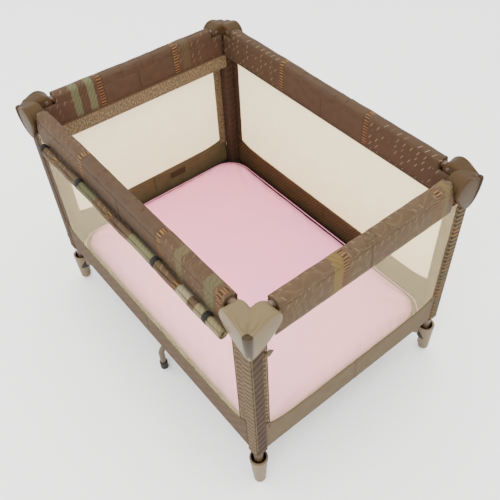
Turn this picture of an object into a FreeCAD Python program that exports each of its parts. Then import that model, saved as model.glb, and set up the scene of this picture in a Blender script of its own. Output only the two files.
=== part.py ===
"""Travel play yard: a folding frame of steel tubes with moulded corner caps and feet,
padded rail covers, fabric and mesh sides, a fabric floor and a removable pad.

Frame of the assembly: Z up, origin on the floor in the middle of the yard, X along the
long sides and Y along the short sides.  The floor linkage and the top rails share one
fold angle.  That holds because the base tube length, split along X and Y, equals the
lengths of the two kinds of half rail (see the derived sizes below).
"""
import FreeCAD
import Part
import math
import os

V = FreeCAD.Vector
doc = FreeCAD.newDocument("play_yard")

# ---------------------------------------------------------------- sizes
SIZES = [
    # the four posts
    ("post_x", "475", "post axis from the middle, along X"),
    ("post_y", "328", "post axis from the middle, along Y"),
    ("post_r", "12.5", "post tube outer radius"),
    ("post_wall", "1.2", "post tube wall"),
    ("post_low", "22", "post tube lower end"),
    ("post_high", "712", "post tube upper end, inside the cap"),
    ("fit_gap", "0.05", "radial running clearance"),
    # floor linkage
    ("base_z", "100", "height of the base tube axes"),
    ("foot_reach", "58", "foot pivot from the post axis, along the diagonal"),
    ("hub_reach", "72", "hub pivot from the middle, along the diagonal"),
    ("base_r", "11", "base tube outer radius"),
    ("base_wall", "1.2", "base tube wall"),
    ("eye_r", "12", "radius of a tube's flattened end"),
    ("eye_w", "15", "width of a tube's flattened end"),
    ("pin_r", "4", "pivot pin radius"),
    ("ear_in", "8", "half gap between two clevis ears"),
    ("ear_t", "4", "clevis ear thickness"),
    ("hub_r", "52", "hub disc radius"),
    ("hub_low", "86", "hub underside"),
    ("hub_high", "114", "hub top"),
    # middle support legs
    ("leg_x", "16", "support leg from the middle, along X"),
    ("leg_in_y", "62", "support leg pivot from the middle, along Y"),
    ("leg_out_y", "334", "support leg foot from the middle, along Y"),
    ("leg_r", "9", "support leg tube radius"),
    ("leg_wall", "1.2", "support leg tube wall"),
    ("leg_bend", "26", "support leg bend radius"),
    ("tip_r", "12", "support leg rubber tip radius"),
    ("tip_h", "34", "support leg rubber tip height"),
    # top rails
    ("rail_z", "700", "height of the rail axes"),
    ("rail_reach", "45", "rail pivot from the post axis"),
    ("rail_in", "4", "rail axis inward of the post axis"),
    ("rail_r", "9.5", "rail tube outer radius"),
    ("rail_wall", "1.2", "rail tube wall"),
    ("rail_eye_r", "11", "radius of a rail tube's flattened end"),
    ("cover_w", "36", "rail cover width"),
    ("cover_up", "20", "rail cover above the rail axis"),
    ("cover_down", "22", "rail cover below the rail axis"),
    ("cover_start", "58", "rail cover from the corner pivot"),
    ("cover_end", "24", "rail cover from the latch pivot"),
    # corner caps
    ("cap_out", "36", "cap outer face from the post axis"),
    ("cap_top", "737", "cap top"),
    ("cap_tip", "600", "lower tip of the cap"),
    ("lobe_r", "46", "radius of a cap lobe"),
    ("lobe_reach", "52", "lobe centre from the post axis"),
    ("cap_wall", "3.5", "cap wall"),
    ("cap_in", "26", "cap inner wall from the post axis"),
    ("core_r", "20", "cap core radius around the post"),
    # feet
    ("foot_top", "112", "foot mouth height"),
    ("foot_r_low", "15", "foot radius at the floor"),
    ("foot_r_high", "25", "foot radius at the mouth"),
    ("cup_r", "20.5", "foot mouth inner radius"),
    ("cup_low", "58", "bottom of the foot mouth"),
    # soft parts
    ("sleeve_half", "18", "post sleeve half width"),
    ("sleeve_wall", "3", "post sleeve thickness"),
    ("fabric_low", "165", "lower edge of the sides"),
    ("fabric_high", "690", "upper edge of the sides"),
    ("sleeve_high", "646", "upper end of the post sleeves"),
    ("panel_out", "16", "side panel outer face from the post axis"),
    ("panel_t", "1.6", "side panel thickness"),
    ("floor_low", "165", "underside of the fabric floor"),
    ("floor_t", "2", "fabric floor thickness"),
    ("pad_low", "168", "underside of the pad"),
    ("pad_t", "30", "pad thickness"),
    ("pad_side", "2", "pad edge inward of the post axis"),
    ("pad_corner", "78", "pad corner radius"),
    ("roll_w", "15", "rolled flap width"),
    ("roll_h", "27", "rolled flap height"),
    ("roll_z", "652", "rolled flap height above the floor"),
    # derived sizes: one fold angle drives the floor and the rails
    ("diagonal", "=sqrt(post_x^2 + post_y^2)", "post axis from the middle, along the diagonal"),
    ("base_len", "=diagonal - foot_reach - hub_reach", "base tube pivot spacing"),
    ("rail_len_x", "=base_len * post_x / diagonal", "long side half rail pivot spacing"),
    ("rail_len_y", "=base_len * post_y / diagonal", "short side half rail pivot spacing"),
    ("latch_x", "=post_x - rail_reach - rail_len_x", "long side latch pivot from the middle"),
    ("latch_y", "=post_y - rail_reach - rail_len_y", "short side latch pivot from the middle"),
]

sheet = doc.addObject("Spreadsheet::Sheet", "Sizes")
for row, (alias, value, words) in enumerate(SIZES, start=1):
    sheet.set("A%d" % row, alias)
    sheet.set("B%d" % row, value)
    sheet.set("C%d" % row, words)
    sheet.setAlias("B%d" % row, alias)
doc.recompute()


def size(alias):
    """The value of one size, in millimetres, for directions and placements."""
    return float(getattr(sheet, alias))


def ex(text):
    """Turn size names in a formula into sheet references."""
    words = []
    word = ""
    for letter in str(text) + " ":
        if letter.isalnum() or letter == "_":
            word += letter
            continue
        words.append("Sizes." + word if word in ALIASES else word)
        words.append(letter)
        word = ""
    return "".join(words).strip()


ALIASES = {alias for alias, value, words in SIZES}


def put(obj, at):
    """Bind the position of an object to three formulas."""
    for letter, formula in zip("xyz", at):
        obj.setExpression(".Placement.Base." + letter, ex(formula))


def box(low, high, name="block"):
    """A box between two corners, each given as three formulas."""
    obj = doc.addObject("Part::Box", name)
    for side, lo, hi in zip(("Length", "Width", "Height"), low, high):
        obj.setExpression(side, ex("(%s) - (%s)" % (hi, lo)))
    put(obj, low)
    return obj


def rod(radius, length, at, along=(0, 0, 1), name="rod"):
    """A cylinder of a radius and length, starting at a point and running along a direction."""
    obj = doc.addObject("Part::Cylinder", name)
    obj.Placement = FreeCAD.Placement(V(), FreeCAD.Rotation(V(0, 0, 1), V(*along)))
    obj.setExpression("Radius", ex(radius))
    obj.setExpression("Height", ex(length))
    put(obj, at)
    return obj


def cone(radius_low, radius_high, height, at, along=(0, 0, 1), name="cone"):
    """A cone frustum standing on a point."""
    obj = doc.addObject("Part::Cone", name)
    obj.Placement = FreeCAD.Placement(V(), FreeCAD.Rotation(V(0, 0, 1), V(*along)))
    obj.setExpression("Radius1", ex(radius_low))
    obj.setExpression("Radius2", ex(radius_high))
    obj.setExpression("Height", ex(height))
    put(obj, at)
    return obj


def fuse(*shapes):
    """One shape from several."""
    obj = doc.addObject("Part::MultiFuse", "joined")
    obj.Shapes = list(shapes)
    return obj


def cut(base, *tools):
    """A shape with others taken away."""
    obj = doc.addObject("Part::Cut", "carved")
    obj.Base = base
    obj.Tool = tools[0] if len(tools) == 1 else fuse(*tools)
    return obj


NODES = []


def node(label, obj, at=("0", "0", "0"), turn=0.0):
    """Name a finished sub-part and give it its own placement."""
    obj.Label = label
    obj.Placement = FreeCAD.Placement(V(), FreeCAD.Rotation(V(0, 0, 1), turn))
    put(obj, at)
    NODES.append(obj)
    return obj


def span(sign, low, high):
    """Two formulas in rising order for an interval that may be mirrored."""
    if sign > 0:
        return "(%s)" % low, "(%s)" % high
    return "0 - (%s)" % high, "0 - (%s)" % low


def local_box(sx, sy, u, v, z):
    """A box near a post: u and v are intervals measured outward along X and Y."""
    x0, x1 = span(sx, *u)
    y0, y1 = span(sy, *v)
    return box((x0, y0, z[0]), (x1, y1, z[1]))


CORNERS = {"near_right": (1, -1), "near_left": (-1, -1), "far_right": (1, 1), "far_left": (-1, 1)}


def corner_place(sx, sy, z="0"):
    """Position formulas of a post axis."""
    return ("%d * post_x" % sx, "%d * post_y" % sy, z)


def inward_turn(sx, sy):
    """Direction in degrees from a post to the middle of the yard."""
    return math.degrees(math.atan2(-sy * size("post_y"), -sx * size("post_x")))


# ---------------------------------------------------------------- tubes
def tube_with_eyes(length, radius, wall, eye_radius):
    """A tube along X with a flattened, drilled eye at both ends and a small drain hole."""
    half = "eye_w / 2"
    eyes = [
        rod(eye_radius, "eye_w", (at, half, "0"), (0, -1, 0), "eye")
        for at in ("0", length)
    ]
    outer = rod(radius, length, ("0", "0", "0"), (1, 0, 0), "tube")
    # the tube meets each eye inside the eye's own width
    flats = [
        box(("0 - %s" % radius, half, "0 - %s" % eye_radius),
            ("%s + 3" % eye_radius, "%s + 10" % half, eye_radius)),
        box(("0 - %s" % radius, "0 - %s - 10" % half, "0 - %s" % eye_radius),
            ("%s + 3" % eye_radius, "0 - %s" % half, eye_radius)),
        box(("%s - %s - 3" % (length, eye_radius), half, "0 - %s" % eye_radius),
            ("%s + %s" % (length, radius), "%s + 10" % half, eye_radius)),
        box(("%s - %s - 3" % (length, eye_radius), "0 - %s - 10" % half, "0 - %s" % eye_radius),
            ("%s + %s" % (length, radius), "0 - %s" % half, eye_radius)),
    ]
    body = fuse(cut(outer, *flats), *eyes)
    hollow = rod("%s - %s" % (radius, wall), "%s - 2 * %s - 8" % (length, eye_radius),
                 ("%s + 4" % eye_radius, "0", "0"), (1, 0, 0), "hollow")
    drain = rod("2.5", radius, ("(%s) / 2" % length, "0", "0"), (0, 0, -1), "drain")
    bores = [
        rod("pin_r + fit_gap", "eye_w + 2", (at, "%s + 1" % half, "0"), (0, -1, 0), "bore")
        for at in ("0", length)
    ]
    return cut(body, hollow, drain, *bores)


for name, (sx, sy) in CORNERS.items():
    outer = rod("post_r", "post_high - post_low", ("0", "0", "post_low"), name="post")
    inner = rod("post_r - post_wall", "post_high - post_low", ("0", "0", "post_low"), name="post_bore")
    node("post_" + name, cut(outer, inner), corner_place(sx, sy))

    node("base_tube_" + name,
         tube_with_eyes("base_len", "base_r", "base_wall", "eye_r"),
         ("%d * post_x * (1 - foot_reach / diagonal)" % sx,
          "%d * post_y * (1 - foot_reach / diagonal)" % sy,
          "base_z"),
         inward_turn(sx, sy))


# ---------------------------------------------------------------- feet
def clevis(start, reach, ear_radius, low, high, pin_z):
    """Two ears along X that hold a pin across them at the given reach."""
    parts = []
    for sign in (1, -1):
        y0, y1 = span(sign, "ear_in", "ear_in + ear_t")
        parts.append(box((start, y0, low), (reach, y1, high)))
        parts.append(rod(ear_radius, "ear_t", (reach, y0, pin_z), (0, 1, 0), "ear"))
    parts.append(rod("pin_r", "2 * ear_in + 2 * ear_t", (reach, "0 - ear_in - ear_t", pin_z),
                     (0, 1, 0), "pin"))
    return parts


def foot():
    """A boot that tapers to the floor, leans a little outward, and carries the base tube pivot."""
    lean = math.radians(3.5)
    away = (math.sin(lean), 0, math.cos(lean))
    boot = cone("foot_r_low", "foot_r_high", "foot_top + 4", ("0 - 9", "0", "0 - 2"), away)
    toe = cone("foot_r_low - 6", "foot_r_low + 1", "9", ("0 - 9", "0", "0 - 1.5"), away)
    # everything below the toe's height is replaced by the rounder toe
    boot = cut(boot, box(("0 - 60", "0 - 60", "0 - 20"), ("60", "60", "7")))
    web = box(("10", "0 - ear_in - ear_t", "base_z - 26"),
              ("foot_reach - eye_r - 3", "ear_in + ear_t", "base_z + 13"))
    ears = clevis("20", "foot_reach", "14", "base_z - 14", "base_z + 13", "base_z")
    body = fuse(boot, toe, web, *ears)
    big = "60"
    below = box(("0 - " + big, "0 - " + big, "0 - 30"), (big, big, "0"))
    above = box(("0 - " + big, "0 - " + big, "foot_top"), ("2 * " + big, big, "foot_top + 30"))
    cup = rod("cup_r", "foot_top", ("0", "0", "cup_low"), name="cup")
    socket = rod("post_r + fit_gap", "foot_top", ("0", "0", "post_low"), name="socket")
    slot = box(("foot_reach - eye_r - 3", "0 - ear_in", "base_z - 40"),
               ("foot_reach + 40", "ear_in", "base_z + 40"))
    pin = rod("pin_r", "2 * ear_in + 2", ("foot_reach", "0 - ear_in - 1", "base_z"), (0, 1, 0), "pin")
    return fuse(cut(body, below, above, cup, socket, slot), pin)


for name, (sx, sy) in CORNERS.items():
    node("foot_" + name, foot(), corner_place(sx, sy), inward_turn(sx, sy))


# ---------------------------------------------------------------- hub and support legs
def hub():
    """A disc with four clevises on the diagonals and two for the support legs."""
    parts = [
        rod("hub_r", "hub_high - hub_low", ("0", "0", "hub_low"), name="disc"),
        cone("hub_r - 6", "hub_r - 16", "6", ("0", "0", "hub_high"), name="dome"),
    ]
    for name, (sx, sy) in CORNERS.items():
        arm = fuse(*clevis("30", "hub_reach", "12.5", "base_z - 12.5", "base_z + 12.5", "base_z"))
        arm.Placement = FreeCAD.Placement(V(), FreeCAD.Rotation(V(0, 0, 1), inward_turn(sx, sy) + 180))
        parts.append(arm)
    for sign in (1, -1):
        # the near leg sits at +X of the middle and the far leg at -X
        arm = fuse(*clevis("30", "leg_in_y", "11", "base_z - 11", "base_z + 11", "base_z"))
        arm.Placement = FreeCAD.Placement(V(), FreeCAD.Rotation(V(0, 0, 1), -90 * sign))
        put(arm, ("%d * leg_x" % sign, "0", "0"))
        parts.append(arm)
    disc = fuse(*parts)
    # a shallow seat for the lift strap
    seat = box(("0 - 14", "0 - 60", "hub_high + 4"), ("14", "60", "hub_high + 20"))
    strap_holes = [
        box(("0 - 14", "%d" % (y - 2), "hub_low - 5"), ("14", "%d" % (y + 2), "hub_high + 20"))
        for y in (-26, 26)
    ]
    # room for the tube eyes to turn, beside each pin
    slots = []
    for sign in (1, -1):
        y0, y1 = span(sign, "leg_in_y - rail_eye_r - 1", "leg_in_y - pin_r - 0.5")
        slots.append(box(("%d * leg_x - ear_in" % -sign, y0, "base_z - 20"),
                         ("%d * leg_x + ear_in" % -sign, y1, "base_z + 25")))
    return cut(disc, seat, *(strap_holes + slots))


node("hub", hub())

loop = cut(
    box(("0 - 13", "0 - 30", "hub_high + 4.2"), ("13", "30", "hub_high + 9.2")),
    box(("0 - 14", "0 - 28", "hub_high + 5.9"), ("14", "28", "hub_high + 7.5")),
)
node("lift_strap", loop)


def bent_path(radius, low, grow, name):
    """Straight run along X, a quarter bend, and a straight run down, as three joined solids."""
    run = rod(radius, "leg_out_y - leg_in_y - leg_bend - %s" % grow, (grow, "0", "base_z"), (1, 0, 0), name)
    bend = doc.addObject("Part::Torus", name + "_bend")
    # the bend turns from +X to -Z around a centre below the run
    bend.Placement = FreeCAD.Placement(V(), FreeCAD.Rotation(V(1, 0, 0), 90))
    bend.setExpression("Radius1", ex("leg_bend"))
    bend.setExpression("Radius2", ex(radius))
    bend.Angle3 = 90
    put(bend, ("leg_out_y - leg_in_y - leg_bend", "0", "base_z - leg_bend"))
    drop = rod(radius, "base_z - leg_bend - (%s)" % low, ("leg_out_y - leg_in_y", "0", low), name=name + "_drop")
    return fuse(run, bend, drop)


def support_leg():
    """A tube from the hub outward under the floor, then down to a rubber tip."""
    half = "7"
    eye = rod("rail_eye_r - 1", "14", ("0", half, "base_z"), (0, -1, 0), "leg_eye")
    outer = fuse(bent_path("leg_r", "6", "0", "leg"), eye)
    sides = [
        box(("0 - 15", half, "base_z - 15"), ("12", "20", "base_z + 15")),
        box(("0 - 15", "0 - 20", "base_z - 15"), ("12", "0 - " + half, "base_z + 15")),
    ]
    hollow = bent_path("leg_r - leg_wall", "5", "16", "leg_hollow")
    bore = rod("pin_r + fit_gap", "20", ("0", "10", "base_z"), (0, -1, 0), "leg_bore")
    return cut(outer, hollow, bore, *sides)


def leg_tip():
    """A rubber cup over the lower end of a support leg."""
    dome = cone("tip_r - 4", "tip_r", "5", ("leg_out_y - leg_in_y", "0", "0"))
    wall = rod("tip_r", "tip_h - 5", ("leg_out_y - leg_in_y", "0", "5"), name="tip")
    socket = rod("leg_r + fit_gap", "tip_h", ("leg_out_y - leg_in_y", "0", "5.5"), name="tip_socket")
    return cut(fuse(dome, wall), socket)


for name, sign in (("near", -1), ("far", 1)):
    place = ("%d * leg_x" % -sign, "%d * leg_in_y" % sign, "0")
    node("support_leg_" + name, support_leg(), place, 90.0 * sign)
    node("leg_tip_" + name, leg_tip(), place, 90.0 * sign)


# ---------------------------------------------------------------- top rails
def rail_cover(length):
    """A padded sleeve around a half rail, along X, with softened edges."""
    start = "cover_start"
    end = "%s - cover_end" % length
    run = "%s - cover_start" % end
    soft = "12"
    half = "cover_w / 2"
    parts = [
        box((start, "0 - %s + %s" % (half, soft), "0 - cover_down"), (end, "%s - %s" % (half, soft), "cover_up")),
        box((start, "0 - " + half, "0 - cover_down + " + soft), (end, half, "cover_up - " + soft)),
    ]
    for y in ("%s - %s" % (half, soft), "0 - %s + %s" % (half, soft)):
        for z in ("cover_up - " + soft, "0 - cover_down + " + soft):
            parts.append(rod(soft, run, (start, y, z), (1, 0, 0), "soft_edge"))
    inside = rod("rail_r + fit_gap", run, (start, "0", "0"), (1, 0, 0), "tube_space")
    return cut(fuse(*parts), inside)


RAILS = {
    "x": {"length": "rail_len_x", "latch": "latch_x"},
    "y": {"length": "rail_len_y", "latch": "latch_y"},
}

for name, (sx, sy) in CORNERS.items():
    for way, turn in (("x", 180.0 if sx > 0 else 0.0), ("y", -90.0 * sy)):
        length = RAILS[way]["length"]
        if way == "x":
            place = ("%d * (post_x - rail_reach)" % sx, "%d * (post_y - rail_in)" % sy, "rail_z")
            kind = "long_rail_"
        else:
            place = ("%d * (post_x - rail_in)" % sx, "%d * (post_y - rail_reach)" % sy, "rail_z")
            kind = "short_rail_"
        node(kind + name, tube_with_eyes(length, "rail_r", "rail_wall", "rail_eye_r"), place, turn)
        node(kind + "cover_" + name, rail_cover(length), place, turn)


def latch_housing(reach):
    """A moulded block along X with a two-eared end for each half rail and a pocket for the button."""
    parts = [
        box(("0 - (%s - 14)" % reach, "0 - 12", "0 - 13"),
            ("%s - 14" % reach, "12", "13")),
    ]
    for turn in (0, 180):
        arm = fuse(*clevis("%s - 16" % reach, reach, "11.5", "0 - 11.5", "11.5", "0"))
        arm.Placement = FreeCAD.Placement(V(), FreeCAD.Rotation(V(0, 0, 1), turn))
        parts.append(arm)
    pocket = box(("0 - 10.4", "0 - 7.4", "0 - 20"), ("10.4", "7.4", "4"))
    return cut(fuse(*parts), pocket)


def latch_cover(reach):
    """The plain fabric patch over the latch, with an opening below for the button."""
    x = "(%s - 14.5)" % reach
    soft = "12"
    half = "cover_w / 2"
    parts = [
        box(("0 - " + x, "0 - %s + %s" % (half, soft), "0 - cover_down"), (x, "%s - %s" % (half, soft), "cover_up")),
        box(("0 - " + x, "0 - " + half, "0 - cover_down + " + soft), (x, half, "cover_up - " + soft)),
    ]
    for y in ("%s - %s" % (half, soft), "0 - %s + %s" % (half, soft)):
        for z in ("cover_up - " + soft, "0 - cover_down + " + soft):
            parts.append(rod(soft, "2 * " + x, ("0 - " + x, y, z), (1, 0, 0), "soft_edge"))
    inside = box(("0 - " + x, "0 - 12.3", "0 - 13.3"), (x, "12.3", "13.3"))
    window = box(("0 - 12", "0 - 9", "0 - 40"), ("12", "9", "0"))
    return cut(fuse(*parts), inside, window)


def button():
    """The release button, pressed upward into the latch."""
    return fuse(
        box(("0 - 10", "0 - 7", "0 - 18"), ("10", "7", "0 - 4")),
        rod("5", "3", ("0", "0", "0 - 4"), name="guide"),
    )


SIDES = {
    "near_long": ("x", ("0", "0 - post_y + rail_in", "rail_z"), 0.0),
    "far_long": ("x", ("0", "post_y - rail_in", "rail_z"), 0.0),
    "right_short": ("y", ("post_x - rail_in", "0", "rail_z"), 90.0),
    "left_short": ("y", ("0 - post_x + rail_in", "0", "rail_z"), 90.0),
}
for name, (way, place, turn) in SIDES.items():
    reach = RAILS[way]["latch"]
    node("latch_" + name, latch_housing(reach), place, turn)
    node("latch_cover_" + name, latch_cover(reach), place, turn)
    node("latch_button_" + name, button(), place, turn)


# ---------------------------------------------------------------- corner caps
def plate(way, sx, sy, along, across, z):
    """A box whose first interval runs along a rail and whose second runs across it."""
    if way == "x":
        return local_box(sx, sy, along, across, z)
    return local_box(sx, sy, across, along, z)


def disc(way, sx, sy, radius, along, across, z):
    """A disc whose axis runs across a rail; across is an interval."""
    if way == "x":
        y0, y1 = span(sy, *across)
        return rod(radius, "(%s) - (%s)" % (y1, y0), ("%d * (%s)" % (sx, along), y0, z), (0, 1, 0), "lobe")
    x0, x1 = span(sx, *across)
    return rod(radius, "(%s) - (%s)" % (x1, x0), (x0, "%d * (%s)" % (sy, along), z), (1, 0, 0), "lobe")


def taper(way, sx, sy):
    """The outer face below a lobe, narrowing to the tip of the cap."""
    obj = doc.addObject("Part::Wedge", "taper")
    sign = sx if way == "x" else sy
    wide_low, wide_high = span(sign, "0 - lobe_reach - lobe_r * 0.9", "cap_out - 10")
    tip_low, tip_high = span(sign, "6", "cap_out - 10")
    obj.setExpression("Xmin", ex(tip_low))
    obj.setExpression("Xmax", ex(tip_high))
    obj.setExpression("X2min", ex(wide_low))
    obj.setExpression("X2max", ex(wide_high))
    obj.setExpression("Ymin", ex("cap_tip"))
    obj.setExpression("Ymax", ex("cap_top - lobe_r * 1.35"))
    # across the rail; turning Y up sends the wedge's own Z to -Y, or to +X when also turned
    if way == "x":
        low, high = span(-sy, "cap_out - cap_wall", "cap_out")
        turn = FreeCAD.Rotation(V(1, 0, 0), 90)
    else:
        low, high = span(sx, "cap_out - cap_wall", "cap_out")
        turn = FreeCAD.Rotation(V(0, 0, 1), 90).multiply(FreeCAD.Rotation(V(1, 0, 0), 90))
    for start, end, key in (("Zmin", "Zmax", ""), ("Z2min", "Z2max", "")):
        obj.setExpression(start, ex(low))
        obj.setExpression(end, ex(high))
    obj.Placement = FreeCAD.Placement(V(), turn)
    return obj


def cap_half(way, sx, sy):
    """One lobe of a cap: outer face, inner face, curved top and the rail pin with its bosses."""
    low_z = "cap_top - lobe_r"
    outer = ("cap_out - cap_wall", "cap_out")
    inner = ("0 - cap_in", "0 - cap_in + cap_wall")
    through = ("0 - cap_in", "cap_out")
    shell = cut(
        disc(way, sx, sy, "lobe_r", "0 - lobe_reach", through, low_z),
        disc(way, sx, sy, "lobe_r - cap_wall", "0 - lobe_reach",
             ("0 - cap_in + cap_wall", "cap_out - cap_wall"), low_z),
        # open below and behind, so that the half rail can swing down
        plate(way, sx, sy, ("0 - lobe_reach - lobe_r - 1", "0 - lobe_reach + lobe_r + 1"),
              ("0 - cap_in + cap_wall", "cap_out - cap_wall"), ("cap_top - lobe_r * 2 - 1", "rail_z + cover_up - 3")),
        plate(way, sx, sy, ("0 - 21", "80"), ("0 - cap_in - 1", "0 - cap_in + cap_wall + 1"),
              ("cap_top - lobe_r * 2 - 1", "cap_top - cap_wall")),
    )
    top = plate(way, sx, sy, ("0 - lobe_reach", "cap_out - 8"), ("0 - 18", "cap_out"),
                ("cap_top - cap_wall", "cap_top"))
    face = plate(way, sx, sy, ("0 - lobe_reach", "cap_out - 8"), outer,
                 ("cap_top - lobe_r * 1.35 - 0.01", "cap_top"))
    pin = disc(way, sx, sy, "pin_r", "0 - rail_reach", ("0 - cap_in + 1", "cap_out - 1"), "rail_z")
    boss_out = disc(way, sx, sy, "8", "0 - rail_reach", ("4.2", "cap_out - cap_wall + 0.5"), "rail_z")
    boss_in = disc(way, sx, sy, "8", "0 - rail_reach",
                   ("0 - cap_in + cap_wall - 0.5", "0 - 12.2"), "rail_z")
    return [shell, top, face, taper(way, sx, sy), pin, boss_out, boss_in]


def cap(sx, sy):
    """A corner cap: two lobes, an upright rounded ridge between them and a core on the post."""
    parts = cap_half("x", sx, sy) + cap_half("y", sx, sy)
    parts.append(rod("core_r", "cap_top - 652", ("0", "0", "652"), name="core"))
    ridge_at = ("%d * (cap_out - 10)" % sx, "%d * (cap_out - 10)" % sy, "cap_tip")
    parts.append(rod("10", "cap_top - cap_tip", ridge_at, name="ridge"))
    web = local_box(sx, sy, ("0", "cap_out - 10"), ("0", "cap_out - 10"), ("652", "cap_top"))
    parts.append(web)
    socket = rod("post_r + fit_gap", "post_high - 600", ("0", "0", "600"), name="post_socket")
    # keep clear of the sleeve's corner below the core
    relief = local_box(sx, sy, ("0 - 30", "sleeve_half + 1"), ("0 - 30", "sleeve_half + 1"),
                       ("cap_tip - 5", "652"))
    return cut(fuse(*parts), socket, relief)


for name, (sx, sy) in CORNERS.items():
    node("cap_" + name, cap(sx, sy), corner_place(sx, sy))


# ---------------------------------------------------------------- sides, floor, pad
def side_fabric(sx, sy):
    """A post sleeve with half of the long side and half of the short side hanging from the rails."""
    half = "sleeve_half"
    sleeve = local_box(sx, sy, ("0 - " + half, half), ("0 - " + half, half), ("fabric_low", "sleeve_high"))
    space = local_box(sx, sy, ("0 - sleeve_half + sleeve_wall", "sleeve_half - sleeve_wall"),
                      ("0 - sleeve_half + sleeve_wall", "sleeve_half - sleeve_wall"),
                      ("fabric_low - 1", "sleeve_high + 1"))
    across = ("panel_out - panel_t", "panel_out")
    high = ("fabric_low", "fabric_high")
    long_half = local_box(sx, sy, ("0 - post_x + 0.2", "0 - sleeve_half - 0.01"), across, high)
    short_half = local_box(sx, sy, across, ("0 - post_y + 0.2", "0 - sleeve_half - 0.01"), high)
    tie = [
        local_box(sx, sy, ("0 - sleeve_half - 1", "0 - sleeve_half + 1"), across, ("fabric_low", "sleeve_high")),
        local_box(sx, sy, across, ("0 - sleeve_half - 1", "0 - sleeve_half + 1"), ("fabric_low", "sleeve_high")),
    ]
    return fuse(cut(sleeve, space), long_half, short_half, *tie)


for name, (sx, sy) in CORNERS.items():
    node("side_fabric_" + name, side_fabric(sx, sy), corner_place(sx, sy))

edge_x = "post_x + panel_out - panel_t - 0.5"
edge_y = "post_y + panel_out - panel_t - 0.5"
sheet_box = box(("0 - (%s)" % edge_x, "0 - (%s)" % edge_y, "floor_low"), (edge_x, edge_y, "floor_low + floor_t"))
notches = [
    box(span(sx, "post_x - sleeve_half - 0.5", "post_x + 60")[:1]
        + span(sy, "post_y - sleeve_half - 0.5", "post_y + 60")[:1] + ("floor_low - 1",),
        span(sx, "post_x - sleeve_half - 0.5", "post_x + 60")[1:]
        + span(sy, "post_y - sleeve_half - 0.5", "post_y + 60")[1:] + ("floor_low + floor_t + 1",))
    for sx, sy in CORNERS.values()
]
node("floor_fabric", cut(sheet_box, *notches))

pad_x = "(post_x - pad_side)"
pad_y = "(post_y - pad_side)"
pad_parts = [
    box(("0 - %s + pad_corner" % pad_x, "0 - " + pad_y, "pad_low"), (pad_x + " - pad_corner", pad_y, "pad_low + pad_t")),
    box(("0 - " + pad_x, "0 - %s + pad_corner" % pad_y, "pad_low"), (pad_x, pad_y + " - pad_corner", "pad_low + pad_t")),
]
for sx, sy in CORNERS.values():
    at = ("%d * (%s - pad_corner)" % (sx, pad_x), "%d * (%s - pad_corner)" % (sy, pad_y), "pad_low")
    pad_parts.append(rod("pad_corner", "pad_t", at, name="pad_round"))
node("pad", fuse(*pad_parts))


def rolled_flap(sx, sy):
    """Half of the rolled and tied flap on the outside of the near long side."""
    run = "post_x - 30"
    x0, x1 = span(sx, "0 - post_x + 0.2", "0 - 26")
    y_mid = "%d * (panel_out + 0.4 + roll_w / 2)" % sy
    tall = "(roll_h - roll_w) / 2"
    parts = [
        rod("roll_w / 2", "(%s) - (%s)" % (x1, x0), (x0, y_mid, "roll_z + " + tall), (1, 0, 0), "roll_top"),
        rod("roll_w / 2", "(%s) - (%s)" % (x1, x0), (x0, y_mid, "roll_z - " + tall), (1, 0, 0), "roll_low"),
        box((x0, y_mid + " - roll_w / 2", "roll_z - " + tall), (x1, y_mid + " + roll_w / 2", "roll_z + " + tall)),
    ]
    return fuse(*parts)


for name in ("near_right", "near_left"):
    sx, sy = CORNERS[name]
    node("rolled_flap_" + name, rolled_flap(sx, sy), corner_place(sx, sy))

# ---------------------------------------------------------------- recompute, check and export
doc.recompute()
faults = []
for obj in doc.Objects:
    if "Invalid" in obj.State or "Error" in obj.State:
        faults.append("%s is %s" % (obj.Label, obj.State))
for obj in NODES:
    if obj.Shape.isNull() or not obj.Shape.isValid():
        faults.append("%s has no valid shape" % obj.Label)
    elif len(obj.Shape.Solids) != 1:
        faults.append("%s has %d solids" % (obj.Label, len(obj.Shape.Solids)))
if faults:
    raise SystemExit("\n".join(faults))

os.makedirs("parts", exist_ok=True)
for obj in NODES:
    obj.Shape.exportStep("parts/%s.step" % obj.Label)
whole = Part.Compound([obj.Shape for obj in NODES]).BoundBox
print(len(NODES), "sub-parts;", "X %.1f..%.1f" % (whole.XMin, whole.XMax),
      "Y %.1f..%.1f" % (whole.YMin, whole.YMax), "Z %.1f..%.1f" % (whole.ZMin, whole.ZMax))
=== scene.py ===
import math

import bmesh
import bpy
import numpy as np
from mathutils import Matrix, Vector


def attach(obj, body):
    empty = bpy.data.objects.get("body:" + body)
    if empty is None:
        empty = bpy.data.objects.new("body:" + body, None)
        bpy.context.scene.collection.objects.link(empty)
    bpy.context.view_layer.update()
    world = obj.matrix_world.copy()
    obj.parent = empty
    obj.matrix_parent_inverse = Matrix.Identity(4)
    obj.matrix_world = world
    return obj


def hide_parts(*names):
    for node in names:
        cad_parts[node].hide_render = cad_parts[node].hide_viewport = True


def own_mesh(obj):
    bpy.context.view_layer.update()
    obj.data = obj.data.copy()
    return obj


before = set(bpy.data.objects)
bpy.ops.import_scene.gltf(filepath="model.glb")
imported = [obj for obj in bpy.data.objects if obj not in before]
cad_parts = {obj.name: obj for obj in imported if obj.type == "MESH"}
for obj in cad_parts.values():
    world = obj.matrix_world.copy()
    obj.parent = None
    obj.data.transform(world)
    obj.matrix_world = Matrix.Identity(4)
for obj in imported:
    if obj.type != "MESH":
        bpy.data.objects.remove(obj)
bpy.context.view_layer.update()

# ------------------------------------------------------------------ sizes, in metres
POST = {"x": 0.475, "y": 0.328}  # post axes from the middle
CORNERS = {"near_right": (1, -1), "near_left": (-1, -1), "far_right": (1, 1), "far_left": (-1, 1)}
RAIL_Z = 0.700  # rail axes
RAIL_IN = 0.004  # rail axis inward of the post axis
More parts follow.
